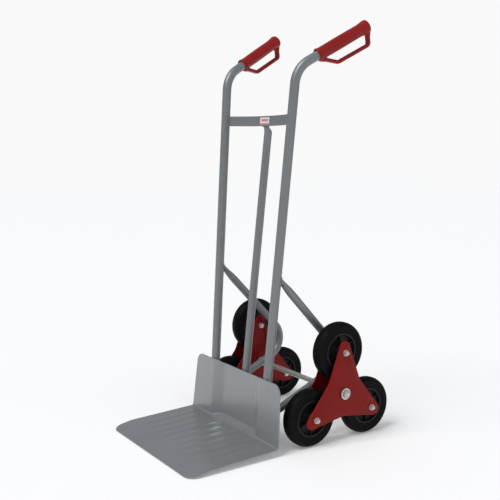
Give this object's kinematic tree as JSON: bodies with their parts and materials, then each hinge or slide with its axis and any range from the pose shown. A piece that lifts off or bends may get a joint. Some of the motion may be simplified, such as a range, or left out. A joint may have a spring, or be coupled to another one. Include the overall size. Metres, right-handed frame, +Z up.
{
  "type": "stair-climbing sack truck",
  "caption": "Upright two-handled sack truck with a pressed toe plate and two free-turning three-wheel clusters for climbing stairs.",
  "frame": {"origin": "on the floor under the middle of the truck's bounding box", "axes": "+X to the truck's right seen from the front, -Y towards the toe plate, +Y towards the wheels and grips, +Z up"},
  "size_m": [0.4936, 0.6628, 1.1374],
  "materials": {
    "frame_paint": "silver-grey metallic paint, satin",
    "toe_plate_metal": "silver-grey paint over pressed sheet, semi-gloss",
    "star_paint": "red enamel, semi-gloss",
    "grip_plastic": "moulded red plastic",
    "tyre_rubber": "solid black rubber",
    "rim_plastic": "moulded black plastic",
    "bush_plastic": "dark grey nylon",
    "zinc": "bright zinc plating",
    "label": "printed vinyl, blank"
  },
  "bodies": {
    "frame": {"toe_plate": "toe_plate_metal", "crossbar": "frame_paint", "label_plate": "label", "centre_tube": "frame_paint", "axle": "zinc", "axle_collars": "zinc", "axle_inner_washers": "zinc", "axle_outer_washers": "zinc", "axle_nuts": "zinc", "upright_right": "frame_paint", "grip_right": "grip_plastic", "side_brace_right": "frame_paint", "upright_left": "frame_paint", "grip_left": "grip_plastic", "side_brace_left": "frame_paint"},
    "cluster_right": {"star_plate_outer_right": "star_paint", "star_plate_inner_right": "star_paint", "hub_tube_right": "star_paint", "hub_bushes_right": "bush_plastic", "wheel_bolts_right": "zinc", "wheel_nuts_right": "zinc", "wheel_washers_right": "zinc", "wheel_sleeves_right": "zinc"},
    "cluster_left": {"star_plate_outer_left": "star_paint", "star_plate_inner_left": "star_paint", "hub_tube_left": "star_paint", "hub_bushes_left": "bush_plastic", "wheel_bolts_left": "zinc", "wheel_nuts_left": "zinc", "wheel_washers_left": "zinc", "wheel_sleeves_left": "zinc"},
    "wheel_right_top": {"tyre_right_top": "tyre_rubber", "rim_right_top": "rim_plastic", "wheel_bushes_right_top": "bush_plastic"},
    "wheel_right_front": {"tyre_right_front": "tyre_rubber", "rim_right_front": "rim_plastic", "wheel_bushes_right_front": "bush_plastic"},
    "wheel_right_rear": {"tyre_right_rear": "tyre_rubber", "rim_right_rear": "rim_plastic", "wheel_bushes_right_rear": "bush_plastic"},
    "wheel_left_top": {"tyre_left_top": "tyre_rubber", "rim_left_top": "rim_plastic", "wheel_bushes_left_top": "bush_plastic"},
    "wheel_left_front": {"tyre_left_front": "tyre_rubber", "rim_left_front": "rim_plastic", "wheel_bushes_left_front": "bush_plastic"},
    "wheel_left_rear": {"tyre_left_rear": "tyre_rubber", "rim_left_rear": "rim_plastic", "wheel_bushes_left_rear": "bush_plastic"}
  },
  "joints": [
    {"name": "cluster_right_turn", "type": "hinge", "parent": "frame", "child": "cluster_right", "pos_m": [0.2, 0.15264, 0.137], "axis": [1, 0, 0], "continuous": true},
    {"name": "cluster_left_turn", "type": "hinge", "parent": "frame", "child": "cluster_left", "pos_m": [-0.2, 0.15264, 0.137], "axis": [1, 0, 0], "continuous": true},
    {"name": "wheel_right_top_spin", "type": "hinge", "parent": "cluster_right", "child": "wheel_right_top", "pos_m": [0.2, 0.15264, 0.251], "axis": [1, 0, 0], "continuous": true},
    {"name": "wheel_right_front_spin", "type": "hinge", "parent": "cluster_right", "child": "wheel_right_front", "pos_m": [0.2, 0.05391, 0.08], "axis": [1, 0, 0], "continuous": true},
    {"name": "wheel_right_rear_spin", "type": "hinge", "parent": "cluster_right", "child": "wheel_right_rear", "pos_m": [0.2, 0.25136, 0.08], "axis": [1, 0, 0], "continuous": true},
    {"name": "wheel_left_top_spin", "type": "hinge", "parent": "cluster_left", "child": "wheel_left_top", "pos_m": [-0.2, 0.15264, 0.251], "axis": [1, 0, 0], "continuous": true},
    {"name": "wheel_left_front_spin", "type": "hinge", "parent": "cluster_left", "child": "wheel_left_front", "pos_m": [-0.2, 0.05391, 0.08], "axis": [1, 0, 0], "continuous": true},
    {"name": "wheel_left_rear_spin", "type": "hinge", "parent": "cluster_left", "child": "wheel_left_rear", "pos_m": [-0.2, 0.25136, 0.08], "axis": [1, 0, 0], "continuous": true}
  ]
}
